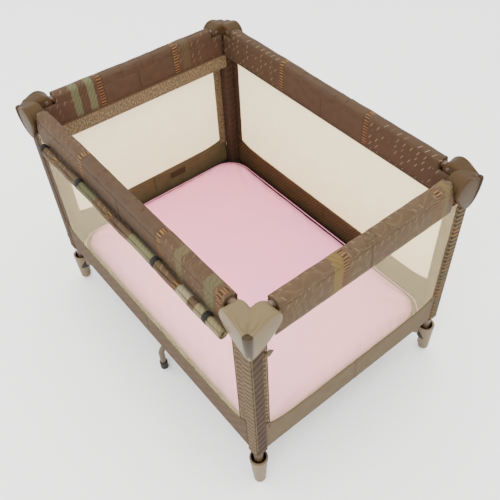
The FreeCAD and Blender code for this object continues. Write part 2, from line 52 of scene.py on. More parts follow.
COVER_Z = 0.6935  # middle of a padded cover, which hangs a little low on its tube
COVER_START = 0.0640  # first end of a rail cover, from the post
COVER_OUT, COVER_UP = 0.0176, 0.0225  # half sizes of a cover's section
COVER_SHORT = 0.024  # a cover ends this far before its latch pivot
PATCH_SHORT = 0.0145  # a latch patch ends this far inside its pivots
LAP = 0.0015  # how far one cloth is tucked into the next
LATCH = {"x": 0.06197, "y": 0.02887}  # latch pivots from the middle
CLOTH_TOP = 0.640  # upper end of the windows, side bands and piping
CLOTH_LOW = 0.165  # lower edge of the sides
SKIRT_TOP = 0.256  # upper edge of the skirts
HEM_Z = 0.623  # hem of the falls inside the rails
SLEEVE = 0.018  # post sleeve half width
CAP_TIP = 0.598  # lowest point of a corner cap
PAD_HALF = (0.468, 0.3215)  # pad from its middle, before it swells
PAD_Z, PAD_THICK = 0.184, 0.012  # middle height and half thickness of the pad
ROLL_OUT, ROLL_Z = 0.0305, 0.634  # axis of the rolled flap: outward of the post axis, and height
ROLL_WIDE, ROLL_HIGH = 0.95, 1.2  # how the roll is pressed flat against the side
TIE_PLACES = (0.105, 0.30)  # ties round the roll, from the post
KIND = {"x": "long", "y": "short"}
SIDES = {"near_long": ("x", 1, -1), "far_long": ("x", 1, 1),
         "right_short": ("y", 1, 1), "left_short": ("y", -1, 1)}


# ------------------------------------------------------------------ camera
def make_camera():
    """The camera, from its place, its turn about Z, its tilt down, its roll, its lens and its shift."""
    place = Vector((1.0837, -0.7607, 1.7019))
    turn, tilt, roll = (math.radians(a) for a in (51.01, 47.58, -1.34))
    back = Vector((math.sin(turn) * math.cos(tilt), -math.cos(turn) * math.cos(tilt), math.sin(tilt)))
    right = (-back).cross(Vector((0, 0, 1))).normalized()
    up = right.cross(-back)
    right, up = (right * math.cos(roll) + up * math.sin(roll), up * math.cos(roll) - right * math.sin(roll))
    data = bpy.data.cameras.new("camera")
    camera = bpy.data.objects.new("camera", data)
    bpy.context.collection.objects.link(camera)
    turned = Matrix((right, up, back)).transposed().to_4x4()
    camera.matrix_world = Matrix.Translation(place) @ turned
    data.sensor_width = 36.0
    data.lens = 46.2384
    data.shift_x, data.shift_y = -0.0436, 0.0116
    data.clip_start = 0.02
    bpy.context.scene.camera = camera


make_camera()


# ------------------------------------------------------------------ shader arithmetic
def pale(r, g, b):
    """Linear colour from everyday 0 to 255 values."""
    c = np.array([r, g, b], float) / 255
    c = np.where(c <= 0.04045, c / 12.92, ((c + 0.055) / 1.055) ** 2.4)
    return tuple(float(x) for x in c) + (1.0,)


def tone(r, g, b, depth=0.34):
    """A dyed or moulded colour, deepened to suit the bright room."""
    c = np.array(pale(r, g, b)[:3]) ** 1.12 * depth
    return tuple(float(x) for x in c) + (1.0,)


def scaled(colour, factor, lift=0.0):
    """A colour made lighter or darker, with its alpha left at one."""
    return tuple(min(1.0, c * factor + lift) for c in colour[:3]) + (1.0,)


class Value:
    """A shader socket that takes part in plain arithmetic."""

    def __init__(self, finish, socket):
        self.finish, self.socket = finish, socket

    def math(self, operation, *others):
        return self.finish.node("ShaderNodeMath", {"operation": operation}, dict(enumerate((self,) + others)))

    def __add__(self, other):
        return self.math("ADD", other)

    def __mul__(self, other):
        return self.math("MULTIPLY", other)

    def __sub__(self, other):
        return self.math("SUBTRACT", other)

    def __truediv__(self, other):
        return self.math("DIVIDE", other)

    def __rsub__(self, other):
        return self.finish.node("ShaderNodeMath", {"operation": "SUBTRACT"}, {0: other, 1: self})

    def __abs__(self):
        return self.math("ABSOLUTE")

    __radd__ = __add__
    __rmul__ = __mul__

    def fract(self):
        return self.math("FRACT")

    def floor(self):
        return self.math("FLOOR")

    def sin(self):
        return self.math("SINE")

    def above(self, edge):
        return self.math("GREATER_THAN", edge)

    def most(self, other):
        return self.math("MAXIMUM", other)

    def clamp(self):
        return self.math("MAXIMUM", 0.0).math("MINIMUM", 1.0)


class Finish:
    """A material whose nodes are written as expressions."""

    def __init__(self, name, **constants):
        self.material = bpy.data.materials.new(name)
        self.material.use_nodes = True
        self.tree = self.material.node_tree
        self.shader = next(n for n in self.tree.nodes if n.type == "BSDF_PRINCIPLED")
        self.set(**constants)

    def fill(self, node, inputs):
        for key, value in inputs.items():
            socket = node.inputs[key]
            if isinstance(value, Value):
                self.tree.links.new(value.socket, socket)
            else:
                socket.default_value = value

    def node(self, kind, settings=None, inputs=None, output=0):
        """A new node: its settings first, then its socket values and links."""
        made = self.tree.nodes.new(kind)
        for key, value in (settings or {}).items():
            if key == "stops":
                ramp = made.color_ramp.elements
                while len(ramp) < len(value):
                    ramp.new(0.5)
                for stop, (place, colour) in zip(ramp, value):
                    stop.position, stop.color = place, colour
            else:
                setattr(made, key, value)
        self.fill(made, inputs or {})
        return Value(self, made.outputs[output])

    def set(self, **inputs):
        self.fill(self.shader, {k.replace("_", " "): v for k, v in inputs.items()})

    def spread(self, source):
        parts = self.node("ShaderNodeSeparateXYZ", None, {0: source})
        split = parts.socket.node.outputs
        return [Value(self, split[i]) for i in range(3)]

    def cloth_uv(self):
        """Distance along and across the cloth, in metres."""
        self.flat = self.node("ShaderNodeUVMap", {"uv_map": "cloth"})
        return self.spread(self.flat)[:2]

    def place(self):
        """The point on the piece, in metres."""
        self.point = self.node("ShaderNodeTexCoord", None, None, "Object")
        return self.spread(self.point)

    def join(self, x, y, z=0.0):
        return self.node("ShaderNodeCombineXYZ", None, {0: x, 1: y, 2: z})

    def noise(self, where, scale, detail=3.0, rough=0.5):
        return self.node("ShaderNodeTexNoise", None,
                         {"Vector": where, "Scale": scale, "Detail": detail, "Roughness": rough})

    def cells(self, where, scale):
        return self.node("ShaderNodeTexVoronoi", None, {"Vector": where, "Scale": scale}, "Distance")

    def mix(self, factor, a, b):
        """Two colours: sockets 6 and 7 take them and output 2 gives the result."""
        return self.node("ShaderNodeMix", {"data_type": "RGBA"}, {0: factor, 6: a, 7: b}, 2)

    def bump(self, height, strength, distance):
        return self.node("ShaderNodeBump", None,
                         {"Height": height, "Strength": strength, "Distance": distance})


def strip(x, centre, half, soft):
    """1 within half of centre, falling to 0 over soft."""
    return ((half - abs(x - centre)) / soft + 0.5).clamp()


def weave_height(u, v, pitch):
    """Over-and-under threads: the product of two sines, one along each thread."""
    turn = 2 * math.pi / pitch
    return (u * turn).sin() * (v * turn).sin()


# ------------------------------------------------------------------ finishes
def plain_cloth(name, main, other, pitch=0.0018, rough=0.86):
    """Woven cloth: two close tones in soft clouds, with a fine weave."""
    f = Finish(name, Roughness=rough, Specular_IOR_Level=0.25)
    u, v = f.cloth_uv()
    cloud = f.noise(f.flat, 26.0, 4.0)
    thread = f.noise(f.join(u * 1400.0, v * 90.0), 1.0, 1.0)
    shade = (cloud * 1.3 + thread * 0.35 - 0.42).clamp()
    f.set(Base_Color=f.mix(shade, main, other), Normal=f.bump(weave_height(u, v, pitch), 0.35, 0.0004))
    return f.material


def rail_cloth(name, plain, stitches, columns, main, dash, swirl=0.0):
    """The printed cover of one rail: a plain middle, ribbed stitch bands, coloured columns, slanting dashes.
    The first cloth direction runs along the rail from its middle, the second round it."""
    f = Finish(name, Roughness=0.8, Specular_IOR_Level=0.25)
    u, v = f.cloth_uv()
    soft = f.noise(f.flat, 38.0, 4.0)
    wander = f.noise(f.flat, 9.0, 2.0)
    base = f.mix((soft * 1.6 - 0.4).clamp(), main, scaled(main, 1.35))
    # slanting dashes in staggered rows, some of them left out
    spacing, row_height = 0.0225, 0.019
    row = (v / row_height).floor()
    lean = u + v * 0.55 + row * 0.0093
    column = (lean / spacing).floor()
    gone = f.noise(f.join(column * 3.7, row * 5.3), 1.0, 0.0)
    dashes = strip((lean / spacing).fract(), 0.5, 0.055, 0.06)
    dashes = dashes * strip((v / row_height).fract(), 0.5, 0.31, 0.12)
    dashes = dashes * ((gone - 0.40) * 9.0).clamp()
    printed = f.mix(dashes * 0.85, base, dash)
    if swirl:
        arc = f.cells(f.flat, 15.0)
        line = strip((arc * 4.0 + wander).fract(), 0.5, 0.10, 0.12)
        printed = f.mix(line * swirl, printed, tone(168, 146, 106))
    for centre, half, colour in columns:
        edge = strip(u + (wander - 0.5) * 0.012, centre, half, 0.0018)
        vein = strip(((u * 0.8 + v * 0.6) / 0.010 + soft * 0.6).fract(), 0.5, 0.16, 0.12)
        printed = f.mix(edge, printed, f.mix(vein * 0.5, colour, scaled(colour, 0.55)))
    middle = strip(u, 0.0, plain, 0.001)
    surface = f.mix(middle, printed, f.mix((soft * 1.5 - 0.3).clamp(), tone(104, 78, 54), tone(124, 97, 70)))
    rib = (v / 0.0088 + soft * 0.9).fract()
    height = weave_height(u, v, 0.0016) * 0.25
    for place in stitches:
        band = strip(u + (wander - 0.5) * 0.006, place, 0.0075, 0.002)
        lit = strip(rib, 0.5, 0.2, 0.2)
        warm = f.mix((wander * 2.4 - 0.8).clamp(), tone(204, 164, 92), tone(170, 104, 54))
        surface = f.mix(band * (lit * 0.85 + 0.1), surface, warm)
        surface = f.mix(band * (1.0 - lit) * 0.8, surface, tone(78, 50, 30))
        height = height + band * lit * 1.6
    seam = strip(abs(u), plain, 0.0012, 0.0012)
    surface = f.mix(seam * 0.6, surface, tone(66, 48, 32))
    f.set(Base_Color=surface, Normal=f.bump(height - seam, 0.45, 0.0006))
    return f.material


def bark_cloth(name, main, second, gold, pitch, slant, amount, other_pitch=None, other_side=None):
    """Bark print: uneven bands across the cloth, in three tones, with specks. The half of the cloth before
    its middle may have another pitch and another colour."""
    f = Finish(name, Roughness=0.82, Specular_IOR_Level=0.25)
    u, v = f.cloth_uv()
    rough_edge = f.noise(f.flat, 60.0, 3.0)
    patch = f.noise(f.join(u * 14.0, v * 24.0), 1.0, 2.0)
    turned = u.above(0.0)
    level = (v + u * slant) * (turned / pitch + (1.0 - turned) / (other_pitch or pitch)) + rough_edge * 0.55
    bands = strip(level.fract(), 0.5, 0.2, 0.22)
    tint = f.mix((patch * 3.2 - 1.25).clamp(), second, gold)
    ground = f.mix((rough_edge * 1.4 - 0.3).clamp(), main, scaled(main, 1.3))
    if other_side:
        tint = f.mix(turned, other_side, tint)
    surface = f.mix(bands * amount, ground, tint)
    specks = ((0.16 - f.cells(f.flat, 95.0)) * 9.0).clamp() * ((patch - 0.45) * 6.0).clamp()
    surface = f.mix(specks * 0.7, surface, tone(196, 174, 128))
    f.set(Base_Color=surface, Normal=f.bump(bands * 0.6 + weave_height(u, v, 0.0016) * 0.25, 0.35, 0.0006))
    return f.material


def mesh_cloth(name, thread, solid, floor_alpha, pitch=0.0023):
    """Knitted mesh: thin threads both ways with open holes between them."""
    f = Finish(name, Roughness=0.75, Specular_IOR_Level=0.25)
    u, v = f.cloth_uv()
    row = (v / pitch).floor()
    across = abs((u / pitch + row * 0.5).fract() - 0.5)
    along = abs((v / pitch).fract() - 0.5)
    threads = (across.most(along) - (0.5 - solid)) * 22.0
    threads = (threads + 0.5).clamp()
    cloud = f.noise(f.flat, 18.0, 2.0)
    f.set(Base_Color=f.mix(cloud, thread, scaled(thread, 1.2)),
          Alpha=threads * (1.0 - floor_alpha) + floor_alpha)
    return f.material


def khaki_mesh(name):
    """The closer khaki mesh of the upper band: cream and brown stitches in short columns."""
    f = Finish(name, Roughness=0.85, Specular_IOR_Level=0.25)
    u, v = f.cloth_uv()
    stitch = f.noise(f.join(u * 260.0, v * 120.0), 1.0, 2.0)
    patch = f.noise(f.flat, 12.0, 2.0)
    ground = f.mix((patch * 2.4 - 0.75).clamp(), tone(176, 152, 112), tone(152, 146, 104))
    dark, light = f.mix(0.55, ground, tone(112, 84, 56)), f.mix(0.5, ground, tone(226, 208, 172))
    surface = f.mix((stitch * 3.0 - 1.2).clamp(), dark, light)
    f.set(Base_Color=surface, Normal=f.bump(stitch, 0.5, 0.0008))
    return f.material


def sheet_cloth(name):
    """Pale pink knitted sheet with faint lavender clouds."""
    f = Finish(name, Roughness=0.9, Specular_IOR_Level=0.25)
    x, y = f.place()[:2]
    cloud = f.noise(f.point, 3.2, 2.0)
    nap = f.noise(f.point, 420.0, 2.0)
    pink = f.mix((cloud * 2.2 - 0.85).clamp(), pale(255, 160, 188), pale(240, 156, 204))
    surface = f.mix(nap * 0.10, pink, pale(255, 206, 220))
    turn = 2 * math.pi / 0.0021
    rib = (x * turn).sin() * 0.5 + (y * turn).sin() * 0.5
    f.set(Base_Color=surface, Normal=f.bump(rib * 0.4 + nap, 0.25, 0.0005))
    return f.material


def moulded(name, main, rough, coat, gloss=0.3):
    """Moulded plastic: faint flow clouds, fine grain and a slightly uneven gloss."""
    f = Finish(name, Coat_Weight=coat, Coat_Roughness=0.08, Specular_IOR_Level=gloss)
    f.place()
    flow = f.noise(f.point, 14.0, 3.0)
    fine = f.noise(f.point, 900.0, 2.0)
    scuff = f.noise(f.point, 70.0, 4.0, 0.65)
    surface = f.mix((flow * 1.5 - 0.25).clamp(), main, scaled(main, 1.14))
    worn = ((scuff - 0.64) * 8.0).clamp()
    surface = f.mix(worn * 0.2, surface, scaled(main, 1.6, 0.03))
    f.set(Base_Color=surface, Roughness=rough + scuff * 0.16, Normal=f.bump(fine, 0.06, 0.0004))
    return f.material


def coated_steel(name, main):
    """Powder-coated tube: orange-peel texture, satin."""
    f = Finish(name, Metallic=0.0, Coat_Weight=0.15, Coat_Roughness=0.3)
    f.place()
    peel = f.noise(f.point, 650.0, 2.0)
    cloud = f.noise(f.point, 22.0, 3.0)
    f.set(Base_Color=f.mix((cloud * 1.4 - 0.2).clamp(), main, scaled(main, 1.25)),
          Roughness=0.38 + cloud * 0.14, Normal=f.bump(peel, 0.18, 0.0004))
    return f.material


def rubber(name):
    """Dark rubber with a matt bloom."""
    f = Finish(name)
    f.place()
    bloom = f.noise(f.point, 60.0, 4.0)
    f.set(Base_Color=f.mix(bloom, tone(30, 26, 22), tone(58, 50, 42)), Roughness=0.7 + bloom * 0.2,
          Normal=f.bump(f.noise(f.point, 500.0), 0.2, 0.0004))
    return f.material


def strap_web(name, main):
    """Ribbed webbing tape."""
    f = Finish(name, Roughness=0.75, Specular_IOR_Level=0.25)
    x, y, z = f.place()
    turn = 2 * math.pi / 0.0018
    rib = ((x + y) * turn).sin() * ((z + x * 0.3) * turn).sin()
    cloud = f.noise(f.point, 80.0, 3.0)
    f.set(Base_Color=f.mix(cloud, main, scaled(main, 1.8, 0.004)),
          Normal=f.bump(rib, 0.4, 0.0005))
    return f.material


SAGE = tone(142, 142, 104)
FINISH = {
    "cap_near": moulded("cap plastic near", tone(172, 150, 108, 0.28), 0.28, 0.02, gloss=0.16),
    "cap_far": moulded("cap plastic", tone(124, 98, 66, 0.24), 0.42, 0.0, gloss=0.08),
    "ridge_near": moulded("cap ridge near", tone(122, 98, 64, 0.17), 0.30, 0.0, gloss=0.14),
    "ridge_far": moulded("cap ridge", tone(108, 84, 56, 0.22), 0.38, 0.0, gloss=0.1),
    "foot": moulded("foot plastic", tone(164, 140, 106), 0.42, 0.05),
    "dark": moulded("dark plastic", tone(70, 54, 42), 0.4, 0.1),
    "button": moulded("button plastic", tone(150, 128, 98), 0.35, 0.15),
    "steel": coated_steel("brown tube", tone(122, 96, 70)),
    "pin": coated_steel("rivet", tone(92, 78, 62)),
    "rubber": rubber("leg tip rubber"),
    "web": strap_web("black webbing", tone(34, 28, 24)),
    "taupe": plain_cloth("taupe cloth", tone(138, 118, 88), tone(156, 136, 106)),
    "brown": plain_cloth("brown cloth", tone(106, 82, 56), tone(126, 101, 72)),
    "olive": plain_cloth("olive binding", tone(128, 114, 80), tone(150, 136, 98)),
    "floor": plain_cloth("floor cloth", tone(96, 74, 52), tone(114, 90, 64)),
    "window_near": mesh_cloth("near mesh window", pale(240, 220, 170), 0.040, 0.07),
    "window_far": mesh_cloth("far mesh window", pale(252, 232, 156), 0.075, 0.66),
    "khaki": khaki_mesh("khaki mesh band"),
    "sheet": sheet_cloth("pink sheet"),
    "roll": rail_cloth("rolled cloth", 0.02, (-0.30, -0.02, 0.26),
        ((0.13, 0.055, tone(158, 152, 112)), (0.385, 0.05, tone(182, 168, 126)),
        (-0.14, 0.05, tone(128, 126, 88)), (0.29, 0.02, tone(196, 184, 146))),
        tone(116, 92, 64), tone(176, 156, 116), 0.1),
    "post_near_right": bark_cloth("striped sleeve", tone(106, 80, 54), tone(172, 148, 106), tone(160, 128, 86),
        0.0175, 0.45, 0.9, 0.024, tone(58, 40, 26)),
    "post_far_right": bark_cloth("banded sleeve", tone(74, 52, 30), tone(150, 138, 90), tone(196, 136, 62),
        0.0150, 0.12, 0.95),
    "post_far_left": bark_cloth("speckled sleeve", tone(88, 64, 44), tone(112, 86, 60), tone(132, 104, 74),
        0.022, 0.2, 0.35),
    "post_near_left": bark_cloth("dark sleeve", tone(92, 68, 46), tone(116, 92, 62), tone(140, 108, 68),
        0.024, 0.3, 0.4),
    "streaked": bark_cloth("streaked skirt", tone(112, 86, 60), tone(134, 108, 74), tone(150, 120, 80),
        0.030, 0.9, 0.4),
    "bark": bark_cloth("bark skirt", tone(96, 72, 44), tone(132, 112, 72), tone(168, 126, 66),
        0.014, 1.3, 0.6),
    "rail_near_long": rail_cloth("rail print near long", 0.165, (-0.175, 0.175, 0.395),
        ((0.36, 0.016, tone(132, 122, 84)), (0.25, 0.012, tone(140, 124, 84))),
        tone(112, 86, 60), tone(160, 136, 98), 0.12),
    "rail_far_long": rail_cloth("rail print far long", 0.160, (-0.17, 0.17), (),
        tone(106, 80, 56), tone(190, 172, 128)),
    "rail_left_short": rail_cloth("rail print far short", 0.118, (-0.128, 0.128),
        ((-0.158, 0.011, SAGE), (-0.184, 0.009, tone(118, 90, 62)),
        (-0.205, 0.011, tone(140, 140, 102)), (0.165, 0.014, tone(124, 104, 72))),
        tone(108, 80, 58), tone(168, 148, 106)),
    "rail_right_short": rail_cloth("rail print near short", 0.0, (-0.078, 0.215),
        ((-0.100, 0.013, tone(160, 134, 74)),
        (0.245, 0.008, tone(150, 128, 80))),
        tone(122, 97, 70), tone(178, 156, 112), 0.22),
}


def dress(obj, key):
    """Give an existing piece its finish."""
    obj.data.materials.clear()
    obj.data.materials.append(FINISH[key])


# ------------------------------------------------------------------ surfaces
def build(name, sheets, material):
    """One mesh from several grids. A grid is points (n, m, 3), its cloth coordinates (n, m, 2) or None,
    and whether it closes on itself along its second direction. Rows that meet in a point are merged."""
    verts, faces, uvs = [], [], []
    start = 0
    for points, flat, ring in sheets:
        n, m = points.shape[:2]
        index = np.arange(n * m).reshape(n, m) + start
        if flat is None:
            flat = np.zeros((n, m, 2))
        if ring:
            index = np.concatenate([index, index[:, :1]], axis=1)
            step = flat[:, -1:] + (flat[:, -1:] - flat[:, -2:-1])
            flat = np.concatenate([flat, step], axis=1)
        quads = np.stack([index[:-1, :-1], index[:-1, 1:], index[1:, 1:], index[1:, :-1]], axis=-1)
        corner = np.stack([flat[:-1, :-1], flat[:-1, 1:], flat[1:, 1:], flat[1:, :-1]], axis=2)
        verts.append(points.reshape(-1, 3))
        faces.append(quads.reshape(-1, 4))
        uvs.append(corner.reshape(-1, 2))
        start += n * m
    verts, faces, uvs = np.concatenate(verts), np.concatenate(faces), np.concatenate(uvs)
    mesh = bpy.data.meshes.new(name)
    mesh.from_pydata(verts.tolist(), [], faces.tolist())
    layer = mesh.uv_layers.new(name="cloth")
    layer.data.foreach_set("uv", uvs.astype(np.float32).ravel())
    work = bmesh.new()
    work.from_mesh(mesh)
    bmesh.ops.remove_doubles(work, verts=work.verts, dist=1e-6)
    bmesh.ops.dissolve_degenerate(work, edges=work.edges, dist=1e-7)
    bmesh.ops.recalc_face_normals(work, faces=work.faces)
    work.to_mesh(mesh)
    work.free()
    mesh.polygons.foreach_set("use_smooth", np.ones(len(mesh.polygons), bool))
    mesh.materials.append(FINISH[material])
    obj = bpy.data.objects.new(name, mesh)
    bpy.context.collection.objects.link(obj)
    return obj


def thicken(obj, thickness):
    solid = obj.modifiers.new("thickness", "SOLIDIFY")
    solid.thickness, solid.offset = thickness, 0.0
    return obj


def fixed(name, sheets, material, body, slot, thickness=0.0):
    """A piece that moves with one body and keeps its shape."""
    obj = build(name, sheets, material)
    if thickness:
        thicken(obj, thickness)
    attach(obj, body)
    return obj


def stack(*parts):
    """Grids of numbers put together as the coordinates of one grid of points."""
    return np.stack(np.broadcast_arrays(*parts), axis=-1)


def place_side(way, sx, sy, along, out, z):
    """Points from the distance along a side from its corner post, outward of the post axis, and height."""
    if way == "x":
        return stack(sx * (POST["x"] - along), sy * (POST["y"] + out), z)
    return stack(sx * (POST["x"] + out), sy * (POST["y"] - along), z)


def by_post(sx, sy, out_x, out_y, z):
    """Points from the distances outward of a post's axis both ways, and height."""
    return stack(sx * (POST["x"] + out_x), sy * (POST["y"] + out_y), z)


def signed_middle(way, sx, sy, along):
    """Distance from a side's middle, signed like the frame's own axis, for the print."""
    return (sx if way == "x" else sy) * (POST[way] - along)


def ripple(u, v, seed):
    """Soft cloth unevenness: a few sines of unrelated lengths, from -1 to 1."""
    a = 1.7 * seed
    return (np.sin(u * 41 + a) * np.cos(v * 57 + 2 * a) + 0.6 * np.sin(u * 93 + v * 31 + 3 * a)
            + 0.4 * np.sin(v * 141 - u * 67 + a)) / 2.0


def run_length(line):
    """Distance along a line of points, from its first point."""
    return np.concatenate([[0], np.cumsum(np.linalg.norm(np.diff(line, axis=0), axis=1))])


def full_turn(count):
    """Angles round a closed ring."""
    return np.linspace(0, 2 * np.pi, count, endpoint=False)


def superellipse(turn, power, wide, high):
    """A rounded rectangle of two half sizes; the smaller the power, the squarer it is."""
    a, b = np.cos(turn), np.sin(turn)
    return np.sign(a) * np.abs(a) ** power * wide, np.sign(b) * np.abs(b) ** power * high


def close_ends(rings, flat, shares=(0.0,)):
    """Rings and their cloth coordinates, with both ends closed by copies drawn toward their middles."""
    ends = []
    for ring in (rings[0], rings[-1]):
        centre = ring.mean(axis=0)
        ends.append(np.array([centre + (ring - centre) * share for share in shares]))
    flat = np.concatenate([np.repeat(flat[:1], len(shares), axis=0), flat,
                           np.repeat(flat[-1:], len(shares), axis=0)])
    return np.concatenate([ends[0], rings, ends[1][::-1]]), flat


SIDE_NAME = {("x", -1): "near_long", ("x", 1): "far_long", ("y", 1): "right_short", ("y", -1): "left_short"}


def side_of(way, sx, sy):
    return SIDE_NAME[(way, sy if way == "x" else sx)]


def axis_of(way):
    return (1, 0, 0) if way == "x" else (0, 1, 0)


def gather(obj, way, corner):
    """Cloth that goes with its corner: attached to the corner's body, with a mesh of its own."""
    sx, sy = CORNERS[corner]
    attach(obj, "corner_" + corner)
    axis_of(way)
    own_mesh(obj)


# ------------------------------------------------------------------ padded rail covers
def padded_sleeve(name, way, sx, sy, start, end, material, seed, slack=1.0):
    """A padded cover along a side from start to end (from the post): the section swells between its ends,
    wrinkles gather at the ends, and both ends close round the tube."""
    out, up = superellipse(full_turn(56) + np.pi / 2, 2 / 3.4, COVER_OUT, COVER_UP)
    girth = run_length(stack(out, up))
    rows = max(10, int((end - start) / 0.0045))
    t = np.linspace(0, 1, rows)[:, None]
    along = start + (end - start) * t
    edge = np.minimum(t, 1 - t) * (end - start)
    swell = 1.0 + 0.018 * (1 - np.exp(-edge / 0.02)) * slack
    pucker = 0.0011 * slack * np.exp(-edge / 0.028) * np.sin(girth * 420 + seed)
    soft = 0.0007 * ripple(along, girth + seed, seed)
    size = swell + (pucker + soft) / 0.02
    sag = -0.0016 * np.exp(-((POST[way] - along) / 0.10) ** 2)
    points = place_side(way, sx, sy, along, out * size - RAIL_IN, COVER_Z + up * size + sag)
    flat = stack(signed_middle(way, sx, sy, along), girth)
    points, flat = close_ends(points, flat, (0.0, 0.35, 0.7, 0.93))
    return build(name, [(points, flat, True)], material)


def make_rails():
    """Eight rail covers, four patches over the latches, and the cloth across the gaps between them."""
    for i, (corner, (sx, sy)) in enumerate(CORNERS.items()):
        for way, kind in KIND.items():
            end = POST[way] - LATCH[way] - COVER_SHORT
            cover = padded_sleeve("cover_%s_%s" % (kind, corner), way, sx, sy, COVER_START, end,
                                  "rail_" + side_of(way, sx, sy), 1.3 * i + len(kind))
            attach(cover, "%s_half_%s" % (kind, corner))
            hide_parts("%s_rail_cover_%s" % (kind, corner))
    for side, (way, sx, sy) in SIDES.items():
        half = LATCH[way] - PATCH_SHORT
        patch = padded_sleeve("latch_patch_" + side, way, sx, sy, POST[way] - half, POST[way] + half,
                              "rail_" + side, 3.1, 0.6)
        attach(patch, "latch_" + side)
        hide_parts("latch_cover_" + side)
        for label, sign in (("a", 1), ("b", -1)):
            near = POST[way] - sign * (half - LAP)
            far = POST[way] - sign * (LATCH[way] + COVER_SHORT + LAP)
            bridge = padded_sleeve("hinge_cloth_%s_%s" % (side, label), way, sx, sy,
                                   min(near, far), max(near, far), "rail_" + side, 5.7 + sign, 0.2)
            anchor = place_side(way, sx, sy, near, 0.0, RAIL_Z)
            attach(bridge, "latch_" + side)
            axis_of(way)
            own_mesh(bridge)


# ------------------------------------------------------------------ side cloth
def side_sheet(name, way, corner, profile, material, first, seed, wave=0.0006, thick=0.0, lift=None):
    """A sheet along half a side: profile is a list of (outward, height) from its top down, carried from first
    to the middle of the side, with a soft wave. lift(along) raises the upper edge near the post."""
    sx, sy = CORNERS[corner]
    step = 0.009
    p = np.array(profile, float)
    length = run_length(p)
    s = np.linspace(0, length[-1], max(4, int(length[-1] / step)))
    out, z = (np.interp(s, length, p[:, k]) for k in range(2))
    if len(p) > 2:
        for _ in range(2):
            out[1:-1] = (out[:-2] + out[1:-1] * 2 + out[2:]) / 4
            z[1:-1] = (z[:-2] + z[1:-1] * 2 + z[2:]) / 4
    along = np.linspace(first, POST[way] - 0.0001, max(8, int((POST[way] - first) / step)))
    a, down = np.meshgrid(along, s)
    fade = np.sin(np.pi * np.clip(down / length[-1], 0, 1)) ** 0.5
    o = out[:, None] + wave * ripple(a, down, seed) * fade
    z = z[:, None] + (lift(a) * (1 - down / length[-1]) if lift else 0.0)
    points = place_side(way, sx, sy, a, o, z)
    obj = build(name, [(points, stack(signed_middle(way, sx, sy, a), down), False)], material)
    if thick:
        thicken(obj, thick)
    gather(obj, way, corner)
    size = (round(POST[way] - first, 4), round(float(length[-1]), 4))


def binding(name, way, corner, path, radius, material, flatten):
    """A folded binding: an oval section carried along a path of (along, outward, height)."""
    p = np.array(path, float)
    length = run_length(p)
    s = np.linspace(0, length[-1], max(6, int(length[-1] / 0.008)))
    line = np.stack([np.interp(s, length, p[:, k]) for k in range(3)], axis=1)
    tangent = np.gradient(line, axis=0)
    tangent /= np.linalg.norm(tangent, axis=1)[:, None]
    side = np.array([0.0, 1.0, 0.0])
    across = np.cross(tangent, side)
    turn = full_turn(14)
    rings = (line[:, None] + across[:, None] * np.cos(turn)[:, None] * radius
             + side * np.sin(turn)[:, None] * radius * flatten)
    rings, flat = close_ends(rings, stack(s[:, None], turn * radius))
    points = place_side(way, *CORNERS[corner], *np.moveaxis(rings, -1, 0))
    gather(build(name, [(points, flat, True)], material), way, corner)


def side_band(name, way, corner, wide, material, seed):
    """The upright band of cloth that joins the mesh to a post sleeve: a narrow sheet with a slight wave."""
    first = SLEEVE - LAP
    z = np.linspace(CLOTH_TOP, SKIRT_TOP - 0.004, 70)[:, None]
    along = np.linspace(first, wide, 8)
    out = 0.0144 + 0.0004 * ripple(along, z, seed)
    points = place_side(way, *CORNERS[corner], along, out, z)
    flat = stack((along - SLEEVE) + 0.036, z)
    band = thicken(build(name, [(points, flat, False)], material), 0.0011)
    gather(band, way, corner)


def skirt_rise(along):
    """The skirt's upper edge climbs towards the post, as a decaying curve."""
    return 0.030 * np.exp(-(along - SLEEVE) / 0.035)


# outlines of the side sheets from the top down, as (outward of the post axis, height)
WINDOW = [(0.0152, CLOTH_TOP), (0.0156, 0.59), (0.0154, 0.45), (0.0150, SKIRT_TOP - 0.006)]
SKIRT = [(0.0150, SKIRT_TOP), (0.0154, 0.21), (0.0150, CLOTH_LOW)]
FALL = [(-0.0200, 0.692), (-0.0224, 0.680), (-0.0232, 0.662), (-0.0226, 0.645), (-0.0240, 0.636),
        (-0.0222, HEM_Z)]
FACE = [(0.0135, 0.695), (0.0156, 0.684), (0.0163, 0.664), (0.0160, 0.640), (0.0146, 0.621)]
KHAKI_BAND = [(-0.0226, HEM_Z + 0.003), (-0.0232, 0.60), (-0.0230, 0.576)]
BAND_EDGE = {"near_long": 0.043, "far_long": 0.040, "right_short": 0.028, "left_short": 0.044}
SKIRT_CLOTH = {"near_long": "streaked", "far_long": "bark", "right_short": "taupe", "left_short": "olive"}


